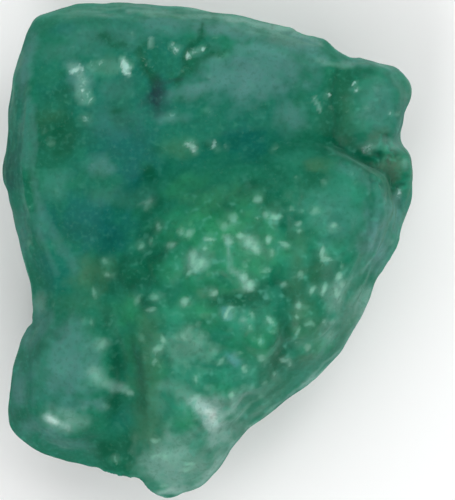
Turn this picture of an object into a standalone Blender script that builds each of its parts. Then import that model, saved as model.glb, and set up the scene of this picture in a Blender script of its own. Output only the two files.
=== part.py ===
"""A rough, broken emerald about 42 mm long, lying on a flat fracture face.

One solid: intergrown masses are joined and worn, conchoidal scoops are broken out of their sides, and the
surface gets its hollow, swells, lumps, ledges and clefts. The stone is modelled in millimetres and scaled to
metres last. X runs across the stone, Y along it, and Z is up from the face that it rests on.
"""

import math

import bmesh
import bpy
import numpy as np
from mathutils import Euler, Matrix, Vector, noise

NAME = "emerald_crystal"
MM = 0.001

# Driving dimensions, in millimetres.
WIDTH = 34.9
LENGTH = 42.0
HEIGHT = 24.0
REST_FACE_CUT = 0.5  # how much of the underside is broken off flat

JOIN_VOXEL = 0.36
WEAR_PASSES = 9
CREASE_PASSES = 2
MOST_TRIANGLES = 9400
SMOOTH_ANGLE = math.radians(50)

COLOUR = (0.045, 0.21, 0.145, 1.0)
ROUGHNESS = 0.3
METALLIC = 0.0

# The corners of each convex mass.
MAIN_BLOCK = [
    # widest line, clockwise from the upper left corner
    (-14.9, 19.8, 12.0), (-12.6, 20.4, 11.0), (-7.5, 21.2, 10.0), (-2.0, 20.7, 11.0), (3.0, 19.9, 12.0),
    (8.2, 18.5, 13.0), (11.6, 17.1, 14.0), (12.6, 15.0, 14.0), (13.0, 8.0, 9.0), (12.0, 0.0, 8.0),
    (-15.2, -4.0, 10.5), (-16.3, 0.0, 11.5), (-16.8, 4.3, 12.0), (-17.1, 9.6, 12.0), (-16.9, 12.4, 11.0),
    (-15.8, 16.4, 12.0),
    # edge of the upper face
    (-14.2, 18.2, 15.6), (-10.6, 19.2, 16.4), (-4.2, 19.2, 17.2), (0.0, 18.0, 17.9), (4.0, 17.2, 18.3),
    (8.0, 16.5, 18.6), (11.6, 15.8, 18.6), (10.0, 2.0, 17.6), (-12.8, -1.8, 16.0), (-13.8, 1.0, 17.0),
    (-14.6, 4.5, 17.8), (-15.5, 10.2, 17.8), (-15.3, 14.6, 16.8),
    # underside
    (-13.6, 16.4, 3.4), (-5.0, 19.4, 5.4), (6.4, 16.8, 2.0), (11.6, 9.0, 4.0), (-15.2, 4.0, 6.0),
    (-12.6, -3.0, 3.0), (-11.0, 11.0, 0.0), (-10.0, -4.0, 0.0), (2.0, 13.4, 0.0), (9.0, 8.0, 0.0),
    (8.5, -2.0, 0.0),
]
HEART = [
    (-12.6, -1.0, 15.6), (-15.3, -4.2, 11.0), (-13.6, -6.0, 14.4), (-12.6, -12.0, 12.6), (-9.0, -19.2, 9.0),
    (-5.6, -20.0, 9.2), (-3.6, -18.0, 12.0), (3.0, -12.0, 13.6), (8.0, -6.0, 14.0), (-8.6, -2.0, 16.6),
    (-7.6, -9.0, 16.4), (-6.8, -14.6, 14.6), (-13.4, -4.6, 5.0), (-7.0, -17.0, 5.0), (-6.4, -14.0, 2.6),
    (-11.6, -1.6, 1.8), (-11.2, -6.6, 2.4), (2.0, -10.0, 2.0), (0.0, 0.0, 0.0), (-8.0, -6.0, 0.0),
    (8.0, 2.0, 10.0), (-11.0, 3.0, 8.0),
]
FRONT_MASS = [
    # crest along its upper side
    (-10.6, -1.6, 16.2), (-8.6, 0.0, 17.0), (-6.4, 1.8, 17.8), (-3.6, 4.2, 18.6), (0.4, 5.6, 19.2),
    (5.0, 6.4, 19.8), (8.6, 8.0, 20.2), (11.5, 7.8, 20.2), (14.2, 6.6, 19.4), (15.8, 4.8, 18.0),
    # foot of its back slope, in the hollow
    (-7.4, 3.6, 15.0), (-3.6, 7.0, 15.0), (1.0, 9.0, 15.2), (6.0, 9.8, 15.6), (10.0, 10.6, 15.8),
    # left slope, down to the cleft
    (-8.6, -4.4, 16.4), (-7.0, -7.0, 16.8), (-6.2, -10.0, 17.0),
    # right flank and lower right edge
    (17.4, 4.6, 14.0), (17.2, 3.0, 12.5), (16.7, 0.0, 11.5), (15.2, -2.6, 11.0), (12.5, -6.2, 10.5),
    (11.7, -8.8, 10.0), (8.3, -10.7, 10.0), (6.9, -13.3, 9.5), (4.4, -15.0, 9.5),
    # brow
    (1.4, 2.6, 22.0), (6.0, 3.0, 22.8), (10.6, 2.6, 22.0), (-0.6, -2.0, 23.0), (5.5, -3.0, 23.6),
    (11.6, -2.6, 20.6), (5.0, -8.6, 21.2), (-2.4, -7.6, 21.0), (10.4, -7.0, 17.2), (4.6, -11.8, 17.4),
    (-5.0, -3.0, 20.6), (13.6, 0.6, 19.6),
    # underside
    (12.0, 2.0, 3.0), (9.0, -6.0, 3.0), (3.0, -10.0, 2.0), (-6.0, -4.0, 2.0), (8.0, 2.0, 0.0),
    (6.0, -5.0, 0.0), (-5.0, -5.0, 0.0),
]
LEFT_LOBE = [
    (-14.8, -4.8, 11.0), (-15.8, -7.2, 10.5), (-16.7, -10.4, 10.0), (-17.2, -13.8, 9.5), (-17.0, -15.8, 9.0),
    (-14.6, -17.6, 8.5), (-12.2, -18.4, 8.5), (-8.6, -19.3, 8.5), (-7.4, -18.8, 9.6), (-13.2, -5.0, 15.0),
    (-12.4, -3.0, 15.4), (-9.8, -2.6, 16.4), (-14.2, -10.4, 15.8), (-14.0, -13.6, 15.0), (-10.6, -8.6, 18.0), (-10.2, -12.6, 17.4),
    (-12.0, -15.4, 14.4), (-8.4, -9.4, 17.8), (-8.6, -14.8, 15.6), (-8.6, -4.0, 17.6), (-7.0, -6.4, 17.2),
    (-9.0, -7.0, 0.6), (-12.6, -12.0, 3.4), (-7.0, -14.0, 3.0), (-12.0, -5.0, 3.4),
]
TIP_LOBE = [
    (-6.0, -19.8, 9.4), (-5.3, -21.1, 8.8), (-2.9, -21.7, 8.6), (-0.6, -20.8, 9.0), (0.9, -18.4, 9.5),
    (4.2, -14.7, 10.0), (-5.4, -14.0, 15.8), (-5.4, -18.2, 13.0), (-1.8, -18.4, 13.6), (0.6, -15.6, 15.0),
    (2.6, -12.4, 17.2), (-1.6, -13.6, 17.8), (-5.4, -8.0, 18.8), (-2.0, -7.0, 21.0), (2.0, -7.6, 21.6),
    (-3.0, -16.0, 3.6), (-4.0, -8.0, 1.4), (3.0, -10.0, 2.4),
]
RIGHT_BLOCK = [
    (11.6, 16.3, 13.0), (14.8, 16.2, 13.5), (16.6, 15.8, 13.5), (17.8, 14.2, 13.0), (17.8, 12.8, 12.5),
    (17.1, 9.4, 11.5), (12.9, 15.4, 17.6), (15.2, 14.8, 17.8), (16.6, 12.8, 17.0), (16.2, 9.6, 16.4),
    (13.0, 11.6, 18.0), (12.8, 8.6, 16.8), (10.6, 13.6, 16.6), (10.4, 9.4, 15.8), (10.6, 12.0, 5.0),
    (14.8, 13.0, 8.0), (13.6, 7.0, 6.0), (8.0, 10.0, 6.0),
]
RIGHT_NODULE = [
    (16.6, 9.3, 12.0), (18.1, 8.3, 12.5), (17.9, 5.4, 12.0), (17.6, 3.4, 11.5), (15.0, 8.6, 17.0),
    (17.2, 7.8, 16.4), (17.2, 5.0, 15.6), (13.0, 9.0, 16.4), (11.4, 9.6, 16.0), (11.0, 5.6, 15.4),
    (14.6, 3.0, 14.8), (13.0, 2.0, 6.0), (9.0, 9.0, 5.0), (15.4, 6.6, 6.4),
]
LEFT_FLANGE = [
    (-16.5, 9.2, 10.5), (-17.3, 8.5, 10.0), (-17.6, 7.0, 10.0), (-17.2, 5.6, 10.0), (-16.2, 3.4, 10.5),
    (-15.6, 8.6, 14.6), (-15.8, 6.0, 14.6), (-14.6, 7.0, 6.0), (-14.0, 8.0, 10.0), (-14.0, 4.0, 10.0),
]
GROWN_MASSES = (HEART, FRONT_MASS, LEFT_LOBE, TIP_LOBE, RIGHT_BLOCK, RIGHT_NODULE, LEFT_FLANGE)

# Conchoidal scoops: centre, radii and turn about X, Y and Z in degrees.
HOLLOW_SCOOPS = [
    ((-7.4, 4.6, 35.4), (20.0, 17.0, 20.0), (0, 0, 0)),
    ((3.2, 9.8, 35.6), (19.0, 14.0, 19.8), (0, 0, 10)),
    ((-2.2, 8.0, 36.4), (24.0, 17.0, 20.0), (0, 0, 25)),
]
SIDE_SCOOPS = [
    ((1.0, 30.6, 4.6), (17.0, 12.4, 9.0), (0, 0, -8)),
    ((-26.4, 12.6, 3.4), (11.0, 10.0, 7.0), (0, 0, 12)),
    ((-26.0, -5.0, 6.0), (10.2, 8.0, 9.0), (0, 12, 0)),
    ((27.6, 6.0, 3.2), (13.0, 9.6, 8.6), (0, 0, 10)),
    ((15.6, -19.6, 4.0), (10.0, 10.0, 8.0), (0, 0, 0)),
    ((-6.0, -27.0, 3.0), (10.0, 9.6, 7.6), (0, 0, 0)),
]

# Soft swells and hollows of the upper side: centre as seen from above, radii and rise.
SWELLS = [
    # dips of the main block and the valley beside the right block
    ((-10.6, 11.8), (3.2, 3.6), -0.5), ((10.6, 12.2), (1.5, 3.4), -0.6),
    # domes of the front mass
    ((-0.4, 0.6), (3.6, 3.0), 0.5), ((10.0, 3.4), (3.4, 3.2), 0.5), ((2.6, -6.8), (3.2, 2.6), 0.5),
    ((9.6, -6.0), (2.6, 2.6), 0.6), ((-3.0, -12.0), (2.2, 3.6), 0.5), ((-1.8, -16.6), (2.4, 2.6), 0.5),
    # domes of the left lobe
    ((-12.6, -14.4), (2.6, 2.0), 0.6), ((-13.0, -9.0), (2.2, 2.0), 0.4), ((-8.6, -11.2), (1.8, 1.2), 0.6),
    ((-9.2, -13.6), (1.4, 1.4), -0.5),
]

# Clefts of the upper side: route as seen from above, half width and depth.
CLEFTS = [
    ([(11.0, 16.4), (10.6, 12.8), (10.2, 10.2), (11.4, 9.0), (13.6, 8.2), (15.6, 6.4), (16.6, 4.2)], 0.9, 0.7),
    ([(-10.4, -1.6), (-8.4, -4.6), (-7.4, -7.7), (-7.0, -10.6), (-6.8, -13.4), (-6.6, -16.4)], 1.1, 0.9),
    ([(-5.8, -17.4), (-5.9, -20.4)], 0.5, 0.6),
    ([(7.6, 4.0), (7.3, 1.6), (7.2, -0.9), (6.9, -5.1), (6.6, -10.0)], 0.9, 0.5),
    ([(-5.0, -3.6), (-1.0, -4.2), (3.0, -3.6), (7.1, -3.0)], 0.9, 0.4),
    ([(-5.6, 16.2), (-4.8, 14.5), (-4.1, 13.4), (-2.2, 14.5), (-1.6, 16.2), (-0.6, 18.0)], 0.5, 0.3),
    ([(-4.2, 11.6), (-4.1, 13.4)], 0.8, 0.3),
]

# Where the surface is lumpy: centre and radius as seen from above.
LUMPY = [((4.6, -1.6), 8.6), ((12.0, -1.0), 5.0), ((-6.4, -2.0), 3.6), ((0.0, -13.0), 4.0), ((15.6, 7.0), 2.6)]
LUMP_SIZE = 3.4
LUMP_HEIGHT = 0.75

# Ledges along the right flank: centre and radius as seen from above, spacing up the flank and height.
LEDGES = ((17.0, 2.0), 5.5, 1.7, 0.16)


def new_object(name, mesh):
    obj = bpy.data.objects.new(name, mesh)
    bpy.context.scene.collection.objects.link(obj)
    return obj


def hull(name, corners):
    """A convex mass with these corners."""
    bm = bmesh.new()
    for corner in corners:
        bm.verts.new(corner)
    found = bmesh.ops.convex_hull(bm, input=bm.verts)
    bmesh.ops.delete(bm, geom=found["geom_interior"], context="VERTS")
    bmesh.ops.recalc_face_normals(bm, faces=bm.faces)
    mesh = bpy.data.meshes.new(name)
    bm.to_mesh(mesh)
    bm.free()
    return new_object(name, mesh)


def ellipsoid(name, centre, radii, turns):
    bm = bmesh.new()
    bmesh.ops.create_icosphere(bm, subdivisions=5, radius=1.0)
    turned = Euler([math.radians(turn) for turn in turns]).to_matrix().to_4x4()
    bm.transform(Matrix.Translation(centre) @ turned @ Matrix.Diagonal((*radii, 1.0)))
    mesh = bpy.data.meshes.new(name)
    bm.to_mesh(mesh)
    bm.free()
    return new_object(name, mesh)


def slab_below(name, level):
    """A slab wider than the stone, with its top at this level."""
    bm = bmesh.new()
    side = 2.0 * LENGTH
    bmesh.ops.create_cube(bm, size=side, matrix=Matrix.Translation((0, 0, level - side / 2)))
    mesh = bpy.data.meshes.new(name)
    bm.to_mesh(mesh)
    bm.free()
    return new_object(name, mesh)


def apply_modifiers(obj):
    graph = bpy.context.evaluated_depsgraph_get()
    mesh = bpy.data.meshes.new_from_object(obj.evaluated_get(graph))
    obj.modifiers.clear()
    obj.data = mesh


def combine(obj, other, operation):
    boolean = obj.modifiers.new(operation.lower(), "BOOLEAN")
    boolean.operation = operation
    boolean.object = other
    apply_modifiers(obj)
    bpy.data.objects.remove(other)


def wear(stone, passes):
    """Rounds the edges."""
    smooth = stone.modifiers.new("wear", "SMOOTH")
    smooth.iterations = passes
    smooth.factor = 0.5
    apply_modifiers(stone)


def rough_out():
    """The broken masses, joined and worn."""
    stone = hull(NAME, MAIN_BLOCK)
    for scoop in HOLLOW_SCOOPS:
        combine(stone, ellipsoid("scoop", *scoop), "DIFFERENCE")
    for corners in GROWN_MASSES:
        combine(stone, hull("mass", corners), "UNION")
    for scoop in SIDE_SCOOPS:
        combine(stone, ellipsoid("scoop", *scoop), "DIFFERENCE")
    remesh = stone.modifiers.new("join", "REMESH")
    remesh.mode = "VOXEL"
    remesh.voxel_size = JOIN_VOXEL
    wear(stone, WEAR_PASSES)
    return stone


def ramp(values, low, high):
    """0 below low and 1 above high, smooth between."""
    share = np.clip((values - low) / (high - low), 0.0, 1.0)
    return share * share * (3.0 - 2.0 * share)


def route_distance(points, route):
    """How far each point lies from a route, as seen from above."""
    nearest = np.full(len(points), np.inf)
    for start, end in zip(route[:-1], route[1:]):
        start, along = np.array(start), np.array(end) - np.array(start)
        share = np.clip((points[:, :2] - start) @ along / (along @ along), 0.0, 1.0)
        offset = points[:, :2] - start - share[:, None] * along
        nearest = np.minimum(nearest, np.linalg.norm(offset, axis=1))
    return nearest


def within(points, centre, radius, edge=1.5):
    """1 inside a round zone as seen from above and 0 outside it, with a soft edge."""
    away = np.linalg.norm(points[:, :2] - np.array(centre), axis=1)
    return 1.0 - ramp(away, radius - edge, radius + edge)


def fractal(points, size, octaves, shift=0.0):
    """Smooth noise from about -1 to 1, with features of this size in millimetres."""
    offset = Vector((shift, 0, 0))
    return np.array([noise.fractal(Vector(p) / size + offset, 0.9, 2.0, octaves) for p in points])


def lumps(points, size):
    """Rounded lumps of two sizes with creases between them, from 0 to about 1."""
    return np.abs(fractal(points, size, 1)) + 0.4 * np.abs(fractal(points, size / 2, 1, 7.0))


def relief(points, normals):
    """How far each point of the surface moves out along its normal."""
    facing_up = ramp(normals[:, 2], -0.3, 0.3)
    warped = points + 0.7 * np.stack([fractal(points, 3.0, 2, shift) for shift in (11.0, 23.0, 37.0)], axis=1)

    height = (0.7 - 0.35 * facing_up) * fractal(points, 8.0, 3)
    for centre, radii, rise in SWELLS:
        away = np.linalg.norm((points[:, :2] - np.array(centre)) / np.array(radii), axis=1)
        height += rise * facing_up * np.exp(-(away**2))
    lumpy = np.max([within(points, *zone) for zone in LUMPY], axis=0) * facing_up
    lumpy = np.maximum(lumpy, 0.6 * (1.0 - facing_up) * ramp(fractal(points, 11.0, 2, 5.0), 0.0, 0.4))
    height += LUMP_HEIGHT * lumpy * (lumps(warped, LUMP_SIZE) - 0.35)
    height += 0.06 * fractal(points, 1.8, 2, 3.0)
    centre, radius, spacing, ledge = LEDGES
    height += ledge * within(points, centre, radius) * np.sin(2 * math.pi * warped[:, 2] / spacing)
    for route, half_width, depth in CLEFTS:
        away = route_distance(warped, route)
        height -= depth * facing_up * np.exp(-((away / half_width) ** 2))

    rest_face = (1.0 - ramp(normals[:, 2], -0.95, -0.7)) * (1.0 - ramp(points[:, 2], 0.6, 1.6))
    return height * (1.0 - rest_face)


def weather(stone):
    mesh = stone.data
    count = len(mesh.vertices)
    points, normals = np.empty(count * 3), np.empty(count * 3)
    mesh.vertices.foreach_get("co", points)
    mesh.vertices.foreach_get("normal", normals)
    points, normals = points.reshape(-1, 3), normals.reshape(-1, 3)
    points += normals * relief(points, normals)[:, None]
    mesh.vertices.foreach_set("co", points.ravel())
    wear(stone, CREASE_PASSES)


def thin_out(stone):
    """Keeps the shape in far fewer triangles."""
    stone.data.calc_loop_triangles()
    decimate = stone.modifiers.new("thin", "DECIMATE")
    decimate.ratio = MOST_TRIANGLES / len(stone.data.loop_triangles)
    decimate.use_collapse_triangulate = True
    apply_modifiers(stone)


def fit_to_size(stone):
    """Brings the stone to its driving dimensions, with the origin under its middle on the resting face."""
    corners = np.array([vert.co for vert in stone.data.vertices])
    low, high = corners.min(axis=0), corners.max(axis=0)
    middle = Vector(((low[0] + high[0]) / 2, (low[1] + high[1]) / 2, low[2]))
    scales = np.array([WIDTH, LENGTH, HEIGHT]) / (high - low)
    stone.data.transform(Matrix.Diagonal((*scales * MM, 1.0)) @ Matrix.Translation(-middle))


def emerald_material():
    material = bpy.data.materials.new("emerald")
    material.use_nodes = True
    shader = material.node_tree.nodes["Principled BSDF"]
    shader.inputs["Base Color"].default_value = COLOUR
    shader.inputs["Roughness"].default_value = ROUGHNESS
    shader.inputs["Metallic"].default_value = METALLIC
    return material


def main():
    for obj in list(bpy.data.objects):
        bpy.data.objects.remove(obj)
    stone = rough_out()
    weather(stone)
    thin_out(stone)
    combine(stone, slab_below("below", REST_FACE_CUT), "DIFFERENCE")
    fit_to_size(stone)
    stone.data.materials.clear()
    stone.data.materials.append(emerald_material())
    stone.data.set_sharp_from_angle(angle=SMOOTH_ANGLE)

    collection = bpy.data.collections.new(NAME)
    bpy.context.scene.collection.children.link(collection)
    bpy.context.scene.collection.objects.unlink(stone)
    collection.objects.link(stone)


main()
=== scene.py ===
"""The looks of a raw emerald lying on a pale floor, seen from straight above."""
import math

import bmesh
import bpy
import numpy as np
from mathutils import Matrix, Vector, noise


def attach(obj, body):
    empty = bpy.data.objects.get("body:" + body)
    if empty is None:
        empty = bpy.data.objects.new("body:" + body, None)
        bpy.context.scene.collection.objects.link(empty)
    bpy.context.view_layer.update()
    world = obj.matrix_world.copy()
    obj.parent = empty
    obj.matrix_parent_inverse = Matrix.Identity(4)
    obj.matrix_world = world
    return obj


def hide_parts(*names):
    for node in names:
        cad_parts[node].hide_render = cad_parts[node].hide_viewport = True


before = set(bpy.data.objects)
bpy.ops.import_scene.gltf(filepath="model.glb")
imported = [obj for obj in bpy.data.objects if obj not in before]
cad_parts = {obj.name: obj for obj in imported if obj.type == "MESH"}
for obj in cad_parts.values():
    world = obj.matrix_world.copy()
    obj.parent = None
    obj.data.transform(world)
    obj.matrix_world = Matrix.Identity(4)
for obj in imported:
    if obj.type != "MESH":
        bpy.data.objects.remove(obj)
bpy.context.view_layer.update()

MM = 0.001
NODE = "emerald_crystal"

# All sizes and places are in millimetres, turns in degrees.

# The skin is made again twice: the size of its voxels, and how often it is eased after it.
COARSE_VOXEL = 0.36
COARSE_EASE_PASSES = 8
FINE_VOXEL = 0.245
FINE_EASE_PASSES = 2

# Sharp valleys that are partly filled and worn soft: centre, radii and turn as seen from above.
WORN_VALLEYS = [
    ((-6.9, -12.6), (3.6, 9.6), 6),
    ((-9.6, -4.6), (3.4, 4.0), 40),
    ((-6.4, 2.4), (5.4, 2.4), 44),
    ((2.6, 6.8), (8.4, 2.8), 15),
    ((11.2, 12.2), (2.4, 5.0), 0),
    ((9.4, 17.2), (2.6, 1.8), -20),
    ((12.4, 8.4), (3.0, 1.6), -20),
]
VALLEYS_FROM = 3.0  # nothing lower than this counts as a valley
VALLEYS_FULLY_FROM = 6.0

# A valley is raised to a little below the blurred height of the upper side.
FILL_CELL = 0.25
FILL_BLUR = 2.1
FILL_BELOW = 0.1
MOST_FILL = 3.5
LOWEST_FILLED = 5.0  # what lies deeper than this is an overhang's underside and stays
WORN_PASSES = 60

# Where the relief belongs, as ovals seen from above.
ZONES = {
    "front": [((2.6, -3.2), (11.5, 8.6), 18)],
    "low": [((0.6, -12.0), (6.5, 8.0), -30)],
    "lobe": [((-12.4, -11.4), (4.6, 7.4), 0)],
    "hollow": [((-3.2, 9.6), (11.4, 8.0), 6)],
    "block": [((14.6, 12.0), (3.0, 4.2), 0)],
    "nodule": [((15.3, 6.8), (2.0, 2.9), 8)],
    "pocket": [((11.9, 8.3), (2.8, 1.5), -18)],
    "flank": [((14.9, 1.4), (2.0, 4.8), 8)],
}

# The relief: zone, kind, size and height.
RELIEF = [
    ("front", "knobs", 3.0, 0.22),
    ("front", "swell", 1.3, 0.05),
    ("low", "swell", 2.6, 0.20),
    ("lobe", "swell", 2.6, 0.30),
    ("hollow", "swell", 3.8, 0.18),
    ("hollow", "swell", 1.2, 0.02),
    ("block", "swell", 1.5, 0.16),
    ("nodule", "pits", 0.75, 0.36),
    ("nodule", "knobs", 0.9, 0.12),
    ("pocket", "pits", 0.9, 0.20),
    ("flank", "ribs", 1.1, 0.07),
]

# The relief that the whole stone has: kind, size and height.
EVERYWHERE = [
    ("swell", 4.2, 0.12),
    ("swell", 1.4, 0.03),
]

# Thin ridges and cracks: height, half width and path.
LINES = [
    (0.16, 0.35, [(-15.0, 12.6), (-15.3, 8.0), (-15.0, 4.0), (-14.6, 0.0)]),
    (0.06, 0.45, [(10.6, 8.0), (12.6, 7.3), (14.4, 6.2), (15.4, 4.4), (15.6, 2.0)]),
    (-0.14, 0.14, [(-6.3, 16.2), (-5.1, 15.2), (-4.4, 13.8), (-4.2, 12.4)]),
    (-0.10, 0.14, [(-4.3, 14.2), (-2.4, 14.4), (-1.7, 15.9)]),
    (-0.12, 0.16, [(10.9, 15.6), (10.5, 12.0), (10.7, 9.2)]),
]

# How busy the fine mottling is: everywhere, in the named zones and on steep sides.
QUIET = 0.22
BUSY = {"front": 1.0, "low": 0.7, "lobe": 0.45, "block": 0.6, "nodule": 1.0, "pocket": 0.8, "flank": 0.6}
STEEP_BUSY = 0.4

# How much painted shade darkens the steep sides: all of them, and those that face the lower left.
STEEP_SHADE = 0.04
LEFT_SHADE = 0.36

# How much painted light lifts the other sides towards a milky tone, and how much more their thin rim.
SIDE_LIGHT = 0.30
RIM_LIGHT = 0.34

# How often these three are eased over the skin, so that they have soft edges.
SHADE_PASSES = 20
SIDE_PASSES = 12
RIM_PASSES = 4

# The stone's grain runs up its sides: the pattern changes this much as fast upwards as sideways.
UPRIGHT_GRAIN = 0.35

# Nicks and bulges in the rim: place, radius and depth, which is below zero where the rim stands out.
NICKS = [
    ((-7.1, -19.1), 1.40, -0.95), ((-4.2, -20.4), 1.20, -0.40), ((-16.7, -14.4), 1.50, -0.20),
    ((17.0, 3.2), 1.00, -0.30), ((10.4, 17.9), 1.30, -0.40), ((17.4, 13.4), 1.00, -0.20),
    ((-5.9, -19.4), 0.35, 0.45), ((-14.0, -4.0), 0.30, 0.20), ((-15.1, -6.1), 0.30, 0.20),
]

# What the easing takes off the skin is put back.
GROWTH = 0.10

# Marks are given as they show from the camera, which enlarges the upper side by this much.
MARK_SCALE = 1.018

# Small chips on the upper side that get painted bright glints, region by region: place, radius and strength.
CHIPS = {
    "left end": [
        ((-11.4, 15.3), 0.30, 1.0), ((-11.0, 15.7), 0.20, 0.5), ((-10.7, 15.3), 0.22, 0.7),
        ((-10.8, 14.7), 0.24, 0.8), ((-10.6, 14.2), 0.20, 0.6), ((-10.7, 13.6), 0.22, 0.9),
        ((-10.2, 13.4), 0.24, 0.7), ((-9.9, 12.8), 0.24, 0.7), ((-10.4, 11.2), 0.34, 0.5),
        ((-10.5, 12.8), 0.20, 0.5),
        ((-9.8, 15.9), 0.22, 0.5), ((-9.1, 15.9), 0.22, 0.5), ((-8.5, 16.3), 0.30, 0.3),
    ],
    "wedge": [
        ((-7.5, 16.3), 0.20, 0.5), ((-7.2, 16.0), 0.34, 1.0), ((-7.0, 15.5), 0.34, 1.0),
        ((-6.8, 15.1), 0.24, 0.8), ((-6.5, 15.6), 0.22, 0.7), ((-5.0, 15.7), 0.22, 0.4),
        ((-5.6, 16.4), 0.22, 0.4),
    ],
    "upper middle": [
        ((-3.0, 17.4), 0.24, 0.7), ((-2.6, 17.1), 0.24, 0.8), ((-1.6, 16.6), 0.24, 0.9),
        ((-1.0, 16.8), 0.30, 0.8), ((-0.5, 17.1), 0.26, 0.9), ((-1.5, 17.0), 0.20, 0.6),
        ((1.0, 16.5), 0.28, 0.5),
    ],
    "hollow": [
        ((-1.7, 9.1), 0.28, 0.6), ((-1.2, 8.8), 0.36, 0.7), ((-1.2, 8.4), 0.22, 0.6),
        ((0.6, 9.0), 0.34, 0.6), ((-0.1, 11.8), 0.24, 0.4), ((-3.1, 11.5), 0.30, 0.3),
    ],
    "right end": [
        ((12.6, 14.2), 0.18, 0.8), ((12.8, 13.7), 0.18, 0.8), ((10.4, 13.3), 0.20, 0.8),
        ((11.8, 12.9), 0.20, 0.4), ((15.7, 11.7), 0.20, 0.5), ((13.4, 8.4), 0.22, 0.6),
        ((13.7, 8.7), 0.28, 0.6), ((14.0, 8.9), 0.22, 0.5), ((16.5, 4.8), 0.20, 0.8),
    ],
    "crest": [
        ((4.3, 4.3), 0.34, 0.6), ((5.8, 2.8), 0.40, 0.9), ((5.0, 3.0), 0.30, 0.5),
        ((7.3, 3.5), 0.24, 0.4), ((7.7, 2.2), 0.26, 0.6), ((7.8, 1.6), 0.24, 0.6),
        ((9.2, 3.3), 0.34, 0.4), ((10.8, 2.1), 0.28, 0.7), ((2.2, 2.6), 0.40, 0.5),
        ((1.5, 2.0), 0.32, 0.4), ((-1.5, 1.4), 0.34, 0.6), ((-2.2, 1.5), 0.30, 0.5),
        ((-4.1, 2.0), 0.30, 0.5), ((-2.9, 0.4), 0.32, 0.6), ((-5.0, 3.9), 0.40, 0.3),
    ],
    "front": [
        ((0.2, 0.9), 0.32, 0.9), ((-0.1, 0.2), 0.26, 0.6), ((-1.1, -0.7), 0.42, 1.0),
        ((-0.4, -1.1), 0.38, 1.0), ((-0.9, -1.5), 0.32, 0.5), ((1.8, 0.8), 0.28, 0.5),
        ((2.9, 1.1), 0.32, 0.7), ((3.5, 0.6), 0.42, 0.8), ((4.1, 0.2), 0.42, 0.8),
        ((5.3, 0.9), 0.30, 0.9), ((6.5, 0.5), 0.30, 0.7), ((5.5, -0.3), 0.28, 0.5),
        ((5.0, -1.7), 0.28, 0.5), ((3.1, -2.3), 0.34, 0.9), ((3.6, -3.0), 0.42, 1.0),
        ((6.5, -3.0), 0.26, 0.5), ((0.6, -3.6), 0.30, 0.8), ((-1.9, -4.4), 0.36, 0.7),
        ((1.7, -5.4), 0.34, 1.0), ((2.0, -4.9), 0.22, 0.6), ((3.0, -5.9), 0.32, 0.4),
        ((3.8, -5.5), 0.26, 0.5), ((5.4, -6.0), 0.34, 0.7), ((5.5, -6.9), 0.22, 0.4),
        ((4.5, -7.7), 0.28, 0.6), ((-3.7, -7.6), 0.28, 0.7), ((-4.2, -8.4), 0.36, 0.7),
        ((-4.5, -9.5), 0.28, 0.5), ((3.2, -10.1), 0.30, 0.7), ((1.2, -9.5), 0.28, 0.5),
        ((6.0, -10.7), 0.28, 0.6), ((-0.9, -11.0), 0.26, 0.5),
    ],
    "right slope": [
        ((9.8, -0.3), 0.38, 1.0), ((10.2, -0.8), 0.28, 0.7), ((7.9, -2.0), 0.28, 0.5),
        ((8.9, -3.4), 0.32, 0.8), ((9.9, -3.4), 0.36, 1.0), ((11.2, -2.3), 0.28, 0.8),
        ((11.5, -3.0), 0.32, 0.7), ((11.1, -3.7), 0.36, 0.9), ((11.4, -4.3), 0.26, 0.7),
        ((7.8, -4.7), 0.28, 0.7), ((7.6, -5.6), 0.22, 0.4), ((10.2, -7.5), 0.38, 0.9),
        ((10.8, -6.2), 0.28, 0.4), ((8.8, -6.2), 0.26, 0.4), ((7.7, -6.9), 0.26, 0.5),
        ((7.8, -8.3), 0.32, 0.6), ((6.7, -9.4), 0.30, 0.6), ((7.1, -9.8), 0.24, 0.5),
    ],
    "tip": [
        ((2.1, -12.4), 0.26, 0.9), ((2.3, -13.2), 0.20, 0.5), ((1.9, -13.9), 0.20, 0.5),
        ((-4.5, -16.3), 0.28, 0.6),
        ((-4.4, -17.7), 0.28, 0.6), ((-3.6, -17.8), 0.28, 0.6), ((-1.5, -18.4), 0.36, 0.7),
        ((-1.8, -18.9), 0.28, 0.6), ((-3.7, -20.4), 0.26, 0.5),
    ],
    "lobe": [
        ((-8.9, -8.0), 0.36, 0.4),
        ((-9.8, -6.2), 0.24, 0.3), ((-9.3, -10.6), 0.60, 0.2), ((-8.6, -11.2), 0.40, 0.2),
        ((-7.0, -11.9), 0.30, 0.3), ((-6.6, -12.3), 0.24, 0.5), ((-8.7, -13.4), 0.30, 0.2),
        ((-7.9, -18.1), 0.24, 0.6), ((-9.6, -3.6), 0.32, 0.5),
        ((-8.7, -0.9), 0.30, 0.5), ((-8.5, -2.2), 0.26, 0.4), ((-5.6, 0.3), 0.28, 0.5),
    ],
}

# Chance chips all over the upper side: how many, how far out, least and most radius and strength.
STRAY_CHIPS = 80
STRAY_ACROSS = 16.5
STRAY_ALONG = 20.0
STRAY_RADII = (0.14, 0.30)
STRAY_STRENGTHS = (0.1, 0.5)
STRAY_CRISPNESS = 0.3

# Chance chips on the front mass, and the plain patches there that have none of them.
FRONT_CHIPS = 50
FRONT_MIDDLE = (4.0, -4.0)
FRONT_SPREAD = (5.5, 4.5)
FRONT_RADII = (0.16, 0.36)
FRONT_STRENGTHS = (0.1, 0.6)
PLAIN = [
    ((3.2, -4.2), (3.4, 1.0), 0), ((5.8, -3.4), (2.0, 1.2), 0), ((6.8, -6.8), (0.9, 2.8), 0),
    ((-6.2, -2.3), (2.8, 1.8), 0), ((-7.4, -12.0), (1.8, 7.0), 0), ((-1.4, -3.4), (2.2, 1.2), 0),
]

# Regions whose chips are crisp facets with a broken painted highlight. The others get a soft painted glow,
# with this share of a facet's glint.
CRISP = ("left end", "wedge", "upper middle", "hollow", "right end")
SOFT_GLINT = 0.20
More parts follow.
